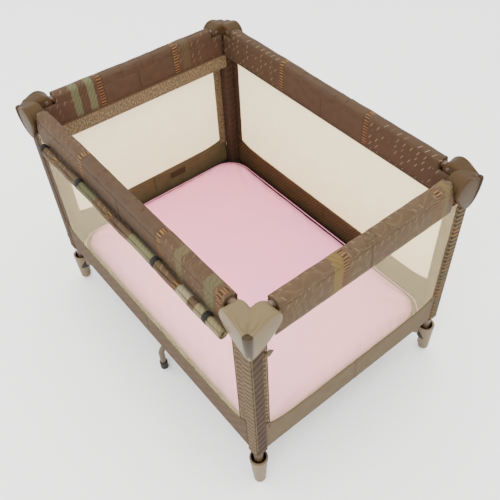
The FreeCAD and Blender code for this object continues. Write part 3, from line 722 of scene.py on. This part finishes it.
def make_sides():
    """Each half side: upright band, mesh window, skirt, inner fall, outer face, and their bindings."""
    for i, corner in enumerate(CORNERS):
        for way, kind in KIND.items():
            side = side_of(way, *CORNERS[corner])
            tag = "%s_%s" % (kind, corner)
            seed = 1.0 + i * 2.3 + (way == "y")
            khaki = side == "left_short"
            wide = BAND_EDGE[side]
            mesh = "window_far" if side in ("far_long", "left_short") else "window_near"
            cover, under_sleeve = "rail_" + side, SLEEVE - 0.001
            side_band("side_band_" + tag, way, corner, wide, "khaki" if khaki else "post_" + corner, seed)
            side_sheet("window_" + tag, way, corner, WINDOW, mesh, wide - 0.003, seed, 0.0007)
            side_sheet("skirt_" + tag, way, corner, SKIRT, SKIRT_CLOTH[side], under_sleeve,
                       seed + 1, 0.0008, 0.0012, skirt_rise)
            side_sheet("rail_fall_" + tag, way, corner, FALL, cover, 0.0233,
                       seed + 2, 0.0009, 0.0014)
            side_sheet("rail_face_" + tag, way, corner, FACE, cover, 0.052,
                       seed + 3, 0.0007, 0.0014)
            if khaki:
                side_sheet("khaki_band_" + tag, way, corner, KHAKI_BAND, "khaki", under_sleeve,
                           seed + 4)
            middle = POST[way] - 0.0002
            top = [(a, 0.0160, SKIRT_TOP + skirt_rise(a) + 0.001) for a in np.linspace(SLEEVE, middle, 40)]
            hem = [(a, -0.0224, HEM_Z) for a in np.linspace(0.0225, middle, 40)]
            upright = [(wide, 0.0154, z) for z in np.linspace(SKIRT_TOP, 0.630, 40)]
            binding("skirt_binding_" + tag, way, corner, top, 0.0032, "olive", 0.7)
            binding("hem_" + tag, way, corner, hem, 0.0034, "brown", 0.7)
            binding("edge_binding_" + tag, way, corner, upright, 0.0018, "olive" if khaki else "brown", 0.8)


def piping(name, corner, out_x, out_y, material):
    """A thin upright bead at its distances outward of a post."""
    radius = 0.0019
    turn = full_turn(10)
    z = np.linspace(CLOTH_TOP, CLOTH_LOW - 0.003, 60)[:, None]
    rings = stack(out_x + np.cos(turn) * radius, out_y + np.sin(turn) * radius, z)
    rings, flat = close_ends(rings, stack(turn * radius, z))
    points = by_post(*CORNERS[corner], *np.moveaxis(rings, -1, 0))
    fixed(name, [(points, flat, True)], material, "corner_" + corner, "side_mesh")


def make_sleeves():
    """Post sleeves: a rounded square wrapped round the tube, its seam at the inner corner, with two piping
    beads at the outer corner."""
    out_x, out_y = superellipse(np.linspace(0, 2 * np.pi, 97) + np.pi * 1.25, 2 / 5.5, SLEEVE, SLEEVE)
    girth = run_length(stack(out_x, out_y))
    z = np.linspace(0.678, CLOTH_LOW - 0.004, 88)[:, None]
    flare = 1 + 0.05 * np.exp(-(z - CLOTH_LOW) / 0.012)
    edge, gap = SLEEVE * 0.925, 0.0036
    for i, (corner, (sx, sy)) in enumerate(CORNERS.items()):
        fold = 1 + 0.030 * ripple(z * 0.9, girth * 0.8, 2.2 + i)
        points = by_post(sx, sy, out_x * fold * flare, out_y * fold * flare, z)
        grid = (points, stack(girth - girth[-1] / 2, z), False)
        obj = fixed("post_sleeve_" + corner, [grid], "post_" + corner, "corner_" + corner, "side_mesh",
                    0.0012)
        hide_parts("side_fabric_" + corner)
        colour = "olive" if corner == "near_right" else "brown"
        piping("piping_%s_a" % corner, corner, edge, edge - gap, colour)
        piping("piping_%s_b" % corner, corner, edge - gap, edge, colour)


# ------------------------------------------------------------------ corner caps
def smooth_loop(knots, count=120):
    """A closed Catmull-Rom line through the knots."""
    p = np.array(knots, float)
    t = np.linspace(0, len(p), count, endpoint=False)
    i = t.astype(int)
    f = (t - i)[:, None]
    a, b, c, d = (p[(i + k) % len(p)] for k in (-1, 0, 1, 2))
    bend, twist = 2 * a - 5 * b + 4 * c - d, 3 * b - a - 3 * c + d
    return 0.5 * (2 * b + (c - a) * f + bend * f ** 2 + twist * f ** 3)


def slab(loop, centre, low, high, radius):
    """A rounded plate: an outline kept between two planes, its edges rounded by radius and its faces slightly
    crowned. Returns rings from the middle of one face, over the edge, to the middle of the other, as
    (along, outward, height)."""
    turn = np.linspace(0, np.pi / 2, 7)
    face = np.array([1.0, 0.75, 0.5, 0.28])
    rise, fall = radius * (1 - np.cos(turn)), radius * (1 - np.sin(turn))
    inset = np.concatenate([face, 0 * turn, 0 * turn, face[::-1]])[:, None]
    trim = np.concatenate([np.full(4, radius), fall, rise, np.full(4, radius)])[:, None]
    level = np.concatenate([np.full(4, high), high - rise, low + fall, np.full(4, low)])[:, None]
    arm = loop - np.array(centre)
    share = (1 - trim / np.linalg.norm(arm, axis=1)) * (1 - inset)
    flat = np.array(centre) + arm * share[..., None]
    upper = np.where(np.arange(len(inset)) < len(inset) / 2, 1, -1)[:, None]
    return stack(flat[..., 0], level + 0.0015 * (1 - share ** 2) * upper, flat[..., 1])


# outlines of a cap's outer plates and of its rounded lobes, as (along the rail from the post, height)
SHIELD = [(-0.031, 0.604), (-0.031, 0.64), (-0.031, 0.675), (-0.030, 0.690), (-0.021, 0.6985),
          (-0.004, 0.7085), (0.014, 0.7180), (0.033, 0.7215), (0.049, 0.7150), (0.0595, 0.702),
          (0.0620, 0.686), (0.053, 0.668), (0.036, 0.645), (0.015, 0.6205), (-0.003, 0.603), (-0.018, 0.5985)]
HOOD = [(-0.026, 0.674), (-0.026, 0.692), (-0.019, 0.7035), (-0.008, 0.7140), (0.012, 0.7182),
        (0.033, 0.7210), (0.048, 0.7148), (0.0580, 0.702), (0.0600, 0.692), (0.052, 0.6865),
        (0.030, 0.6835), (0.008, 0.6765)]
CAP_PLATES = ((SHIELD, 0.0165, 0.031, 0.006), (HOOD, -0.0165, 0.026, 0.009))


def cap_draw(z):
    """Share of its full reach that a cap's outer face has at a height: it draws in below the lobes."""
    share = np.clip((z - CAP_TIP) / 0.095, 0, 1)
    return 0.66 + 0.34 * share * (2 - share)


def make_caps():
    """Corner caps of two lobes each, the upright ridge between the lobes, and two rivets inside."""
    middle = (0.018, 0.697)
    ridge_z = np.concatenate([[0.7005], np.linspace(0.7002, 0.604, 46), [0.5975]])
    width = np.interp(ridge_z, [0.597, 0.601, 0.62, 0.68, 0.694, 0.7000, 0.7005],
                      [0.0, 0.0050, 0.0070, 0.0100, 0.0105, 0.0080, 0.0])[:, None]
    rivet_radius = np.array([0.0, 0.0026, 0.0046, 0.0058, 0.0062, 0.0062])[:, None]
    rivet_rise = np.array([0.0022, 0.0020, 0.0014, 0.0006, -0.0004, -0.002])[:, None]
    for corner, (sx, sy) in CORNERS.items():
        near = corner == "near_right"
        body, slot = "corner_" + corner, "cap_plastic" if near else "cap_plastic_far"
        lobes = []
        for way in "xy":
            for knots, low, high, radius in CAP_PLATES:
                along, out, z = np.moveaxis(slab(smooth_loop(knots), middle, low, high, radius), -1, 0)
                draw = cap_draw(z)
                along, out = np.where(along < 0, along * draw, along), np.where(out > 0, out * draw, out)
                lobes.append((place_side(way, sx, sy, along, out, z), None, True))
        cap = fixed("corner_cap_" + corner, lobes, "cap_near" if near else "cap_far", body, slot)
        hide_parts("cap_" + corner)
        # the ridge is a flattened half round that runs over the corner and narrows to the tip
        centre = (0.031 * cap_draw(ridge_z) - 0.0056)[:, None]
        turn = full_turn(20)
        across = np.cos(turn) * width * 1.15
        proud = np.sin(turn) * np.minimum(width, 0.0075) * 0.95
        half = math.sqrt(0.5)
        ridge = by_post(sx, sy, centre + (proud + across) * half, centre + (proud - across) * half,
                        ridge_z[:, None])
        colour = "ridge_near" if near else "ridge_far"
        fixed("cap_ridge_" + corner, [(ridge, None, True)], colour, body, slot)
        turn = full_turn(28)
        along, z = 0.040 + rivet_radius * np.cos(turn), 0.7015 + rivet_radius * np.sin(turn)
        rivets = [(place_side(way, sx, sy, along, -0.0172 - rivet_rise, z), None, True) for way in "xy"]
        fixed("cap_rivets_" + corner, rivets, "pin", body, "steel_tube")


# ------------------------------------------------------------------ floor, pad, rolled flap and small pieces
def floor_gores():
    """The fabric floor in gores that meet at the hub: each is a fan from the middle to its stretch of the
    outline, which steps in round the posts."""
    hx, hy = POST["x"] + 0.0139, POST["y"] + 0.0139
    nx, ny = POST["x"] - SLEEVE - 0.002, POST["y"] - SLEEVE - 0.002
    quarter = [[(hx, 0), (hx, ny / 2)], [(hx, ny / 2), (hx, ny)], [(hx, ny), (nx, ny), (nx, hy)],
               [(nx, hy), (nx * 0.68, hy)], [(nx * 0.68, hy), (nx * 0.34, hy)], [(nx * 0.34, hy), (0, hy)]]
    mirrored = [span[::-1] for span in quarter[::-1]]
    spans = []
    for part, signs in ((quarter, (1, 1)), (mirrored, (-1, 1)), (quarter, (-1, -1)), (mirrored, (1, -1))):
        spans += [np.array(span, float) * signs for span in part]
    t = np.linspace(0.0, 1.0, 26)[:, None, None]
    for number, line in enumerate(spans):
        length = run_length(line)
        s = np.sort(np.unique(np.concatenate([np.linspace(0, length[-1], 14), length])))
        edge = np.stack([np.interp(s, length, line[:, c]) for c in range(2)], axis=1)
        flat = edge * t
        wave = 0.0008 * np.sin(flat[..., :1] * 60) * np.cos(flat[..., 1:] * 60) * np.sin(np.pi * t)
        points = np.concatenate([flat, 0.1662 + wave], axis=-1)
        gore = thicken(build("floor_gore_%02d" % number, [(points, flat, False)], "floor"), 0.0014)
        away = edge.mean(axis=0)
        away = away / np.hypot(*away)
        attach(gore, "hub")
        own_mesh(gore)
        if number == 0:
            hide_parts("floor_fabric")


def rounded_rectangle(hx, hy, radius, count=240):
    """Outline of a rectangle with rounded corners, anticlockwise."""
    pts = []
    for k, (cx, cy) in enumerate(((1, 1), (-1, 1), (-1, -1), (1, -1))):
        a = np.linspace(0, np.pi / 2, count // 8) + k * np.pi / 2
        pts.append(stack(cx * (hx - radius) + radius * np.cos(a), cy * (hy - radius) + radius * np.sin(a)))
    closed = np.concatenate(pts + [pts[0][:1]])
    length = run_length(closed)
    s = np.linspace(0, length[-1], count, endpoint=False)
    return np.stack([np.interp(s, length, closed[:, c]) for c in range(2)], axis=1)


def read_points(obj):
    flat = np.empty(len(obj.data.vertices) * 3)
    obj.data.vertices.foreach_get("co", flat)
    return flat.reshape(-1, 3)


def settle(obj, frames, cap, pressure, voxel):
    """Remesh, swell with cloth pressure and no gravity, and return the points, none moved more than cap."""
    bpy.context.view_layer.objects.active = obj
    obj.select_set(True)
    remesh = obj.modifiers.new("remesh", "REMESH")
    remesh.mode, remesh.voxel_size = "VOXEL", voxel
    bpy.ops.object.modifier_apply(modifier="remesh")
    start = read_points(obj)
    moved = start
    cloth = obj.modifiers.new("cloth", "CLOTH")
    cloth.settings.use_pressure = True
    cloth.settings.uniform_pressure_force = pressure
    cloth.settings.effector_weights.gravity = 0.0
    cloth.settings.quality = 5
    scene = bpy.context.scene
    for number in range(1, frames + 1):
        scene.frame_set(number)
    moved = read_points(obj.evaluated_get(bpy.context.evaluated_depsgraph_get()))
    obj.modifiers.remove(cloth)
    scene.frame_set(1)
    shift = moved - start
    size = np.linalg.norm(shift, axis=1, keepdims=True)
    return start + shift * np.minimum(1, cap / np.maximum(size, 1e-9))


def make_pad():
    """The pad in its fitted sheet: a rounded slab that swells, with soft folds that run in from the corners,
    and the sheet's sewn edge."""
    half_x, half_y = PAD_HALF
    outline = rounded_rectangle(half_x, half_y, 0.078)
    turn = np.linspace(0, np.pi, 9)
    face = np.array([1.0, 0.8, 0.6, 0.4, 0.2, 0.08])
    flat_part = np.full(len(face), PAD_THICK)
    inset = np.concatenate([face, 0 * turn, face[::-1]])[:, None]
    trim = np.concatenate([flat_part, PAD_THICK * (1 - np.sin(turn)), flat_part])[:, None]
    level = np.concatenate([flat_part, PAD_THICK * np.cos(turn), -flat_part])[:, None]
    share = (1 - trim / np.linalg.norm(outline, axis=1)) * (1 - inset)
    rings = stack(outline[:, 0] * share, outline[:, 1] * share, PAD_Z + level)
    pad = build("pad_in_sheet", [(rings, None, True)], "sheet")
    x, y, z = settle(pad, 20, 0.008, 4.0, 0.006).T
    to_x, to_y = half_x - np.abs(x), half_y - np.abs(y)
    top = np.clip((z - PAD_Z) / 0.010, 0, 1)
    near_edge = np.exp(-np.maximum(np.minimum(to_x, to_y), 0) / 0.05)
    fan = np.sin(np.arctan2(to_y, to_x) * 15 + np.sign(x) * 1.3 + np.sign(y) * 0.7)
    folds = 0.0022 * np.exp(-((np.hypot(to_x, to_y) - 0.11) / 0.07) ** 2) * fan
    pull = 0.0011 * near_edge * np.sin((x + 1.7 * y) * 85 + 0.8)
    calm = 0.0016 * ripple(x * 0.35, y * 0.4, 4.0) + 0.0008 * ripple(x * 0.9 + y * 0.3, y * 0.7, 9.0)
    sink = -0.003 * np.exp(-((np.hypot(x * 0.7, y)) / 0.2) ** 2)
    z = np.where(z > PAD_Z, z + top * (folds + pull + calm + sink), z)
    z = np.clip(z, 0.1685, 0.2045)
    pad.data.vertices.foreach_set("co", stack(x, y, z).ravel())
    pad.data.polygons.foreach_set("use_smooth", np.ones(len(pad.data.polygons), bool))
    pad.data.update()
    dress(pad, "sheet")
    subdivide = pad.modifiers.new("smooth", "SUBSURF")
    subdivide.levels = subdivide.render_levels = 1
    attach(pad, "pad")
    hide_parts("pad")
    # the sewn edge of the fitted sheet, a cord just under the rim
    rim = rounded_rectangle(0.4735, 0.3268, 0.080)
    tangent = np.roll(rim, -1, axis=0) - np.roll(rim, 1, axis=0)
    tangent /= np.linalg.norm(tangent, axis=1)[:, None]
    turn = full_turn(10)[:, None]
    off, up = np.cos(turn) * 0.0015, np.sin(turn) * 0.0015
    ring = stack(rim[:, 0] + off * tangent[:, 1], rim[:, 1] - off * tangent[:, 0], 0.1795 + up)
    fixed("pad_seam", [(np.concatenate([ring, ring[:1]]), None, True)], "sheet", "pad", "pad_sheet")


def make_flap():
    """The rolled flap: a spiral of cloth, flattened against the side, carried along the near long side, with
    two ties round each half."""
    turns = np.linspace(0.0, 3.1 * 2 * np.pi, 110)
    full = 0.0130
    r = 0.0055 + (full - 0.0055) * turns / turns[-1]
    out, up = np.cos(turns) * r * ROLL_WIDE, np.sin(turns) * r * ROLL_HIGH
    girth = run_length(stack(out, up))
    turn = full_turn(40)[:, None]
    tie_along = np.array([-0.0075, -0.0070, 0.0, 0.0070, 0.0075, 0.0070, 0.0, -0.0070])
    tie_rise = np.array([0.0, 0.0008, 0.0011, 0.0008, 0.0, -0.0006, -0.0006, -0.0006])
    for corner, end in (("near_right", 0.050), ("near_left", 0.095)):
        sx, sy = CORNERS[corner]
        g, a = np.meshgrid(girth, np.linspace(end, POST["x"] - 0.0001, 70))
        squeeze = 1 - 0.16 * sum(np.exp(-((a - t) / 0.012) ** 2) for t in TIE_PLACES)
        o = ROLL_OUT + out * squeeze + 0.0009 * ripple(a, g, 3.3)
        sag = 0.004 * np.sin(a / POST["x"] * np.pi * 2.0)
        z = ROLL_Z + up * squeeze + 0.0012 * ripple(a + 0.3, g, 5.1) - sag
        grid = (place_side("x", sx, sy, a, o, z), stack(signed_middle("x", sx, sy, a), g), False)
        roll = thicken(build("flap_roll_" + corner, [grid], "roll"), 0.0011)
        gather(roll, "x", corner)
        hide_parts("rolled_flap_" + corner)
        for number, place in enumerate(TIE_PLACES):
            middle = ROLL_Z - 0.004 * math.sin(place / POST["x"] * math.pi * 2.0)
            o = ROLL_OUT + np.cos(turn) * (full * ROLL_WIDE * 0.86 + 0.0012 + tie_rise)
            z = middle + np.sin(turn) * (full * ROLL_HIGH * 0.86 + 0.0014 + tie_rise)
            loop = place_side("x", sx, sy, place + tie_along, o, z)
            loop = np.concatenate([loop, loop[:1]])
            tie = build("flap_tie_%s_%d" % (corner, number), [(loop, None, True)], "web")
            gather(tie, "x", corner)


def make_tags():
    """A plain square tag by the near cap, a dark patch inside the far short side, and a small tab by the
    left post."""
    a, b = np.meshgrid(np.linspace(-1, 1, 15), np.linspace(-1, 1, 15))
    u, v = (a + b) * 0.0085 * 0.72, (a - b) * 0.0085 * 0.72
    bulge = 0.0006 * (1 - a ** 2) * (1 - b ** 2)
    points = place_side("y", *CORNERS["near_right"], 0.031 + u, 0.0200 + bulge, 0.583 + v)
    fixed("tag", [(points, stack(u, v), False)], "olive", "corner_near_right", "side_mesh", 0.0016)
    u, v = a * 0.030, b * 0.011
    points = place_side("y", *CORNERS["far_left"], 0.235 + u, 0.0128, 0.226 + v)
    patch = thicken(build("inside_patch", [(points, stack(u, v), False)], "floor"), 0.0012)
    gather(patch, "y", "far_left")
    t = np.linspace(0, 1, 12)[:, None]
    w = np.linspace(-1, 1, 9)[None, :]
    out = SLEEVE * 0.9 + 0.016 * np.sin(t * np.pi * 0.9)
    z = 0.196 - 0.022 * t + 0.006 * np.sin(t * np.pi)
    points = by_post(*CORNERS["near_left"], out, 0.008 + 0.007 * w, z)
    fixed("post_tab", [(points, None, False)], "brown", "corner_near_left", "side_mesh", 0.0022)


def make_foot_mouth_shade():
    """Painted shade in each foot mouth: a dark cup, a turned profile of radius against height, closed at its
    foot.
    """
    radius = np.array([0.0216, 0.0203, 0.0202, 0.0200, 0.0196, 0.0185, 0.0])[:, None]
    height = np.array([0.1119, 0.1105, 0.095, 0.075, 0.062, 0.0595, 0.0592])[:, None]
    turn = full_turn(40)
    for corner, (sx, sy) in CORNERS.items():
        points = stack(sx * POST["x"] + radius * np.cos(turn), sy * POST["y"] + radius * np.sin(turn), height)
        # the dark cup is painted shade for the shadow inside the foot's opening
        fixed("foot_mouth_shade_" + corner, [(points, None, True)], "rubber", "corner_" + corner, "foot_plastic",
              0.0006)


def finish_frame():
    """The CAD nodes that stay in sight take their finishes, by the way their names begin."""
    kinds = {"post_": "steel", "base_tube_": "steel", "long_rail_": "steel", "short_rail_": "steel",
             "support_leg_": "steel", "leg_tip_": "rubber", "foot_": "foot", "hub": "dark",
             "lift_strap": "web", "latch_button_": "button", "latch_": "dark"}
    for name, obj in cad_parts.items():
        for start, key in kinds.items():
            if name.startswith(start):
                dress(obj, key)
                break


make_rails()
make_sides()
make_sleeves()
make_caps()
floor_gores()
make_pad()
make_flap()
make_tags()
make_foot_mouth_shade()
finish_frame()


# ------------------------------------------------------------------ studio
def studio():
    """A pale floor, a pale world and three soft lights."""
    x, y = np.meshgrid(np.linspace(-4, 4, 3), np.linspace(-4, 4, 3))
    floor = build("studio_floor", [(stack(x, y, -0.0005), None, False)], "sheet")
    f = Finish("studio floor", Roughness=0.9)
    f.place()
    f.set(Base_Color=f.mix(f.noise(f.point, 0.6) * 0.3, (0.93, 0.93, 0.93, 1), (0.90, 0.90, 0.90, 1)))
    floor.data.materials[0] = f.material
    world = bpy.data.worlds.new("studio")
    bpy.context.scene.world = world
    world.use_nodes = True
    back = next(n for n in world.node_tree.nodes if n.type == "BACKGROUND")
    back.inputs["Color"].default_value = (1.0, 0.99, 0.975, 1)
    back.inputs["Strength"].default_value = 2.6
    aim = Vector((0, 0, 0.4))
    lights = (("key", (1.6, -2.4, 2.6), 1.8, 70), ("fill", (-2.6, -1.2, 2.2), 2.4, 30),
              ("top", (0.2, 0.6, 3.2), 2.6, 45))
    for name, place, size, power in lights:
        light = bpy.data.lights.new(name, "AREA")
        light.size, light.energy = size, power
        obj = bpy.data.objects.new(name, light)
        bpy.context.collection.objects.link(obj)
        obj.location = place
        obj.rotation_euler = (aim - Vector(place)).to_track_quat("-Z", "Y").to_euler()


studio()
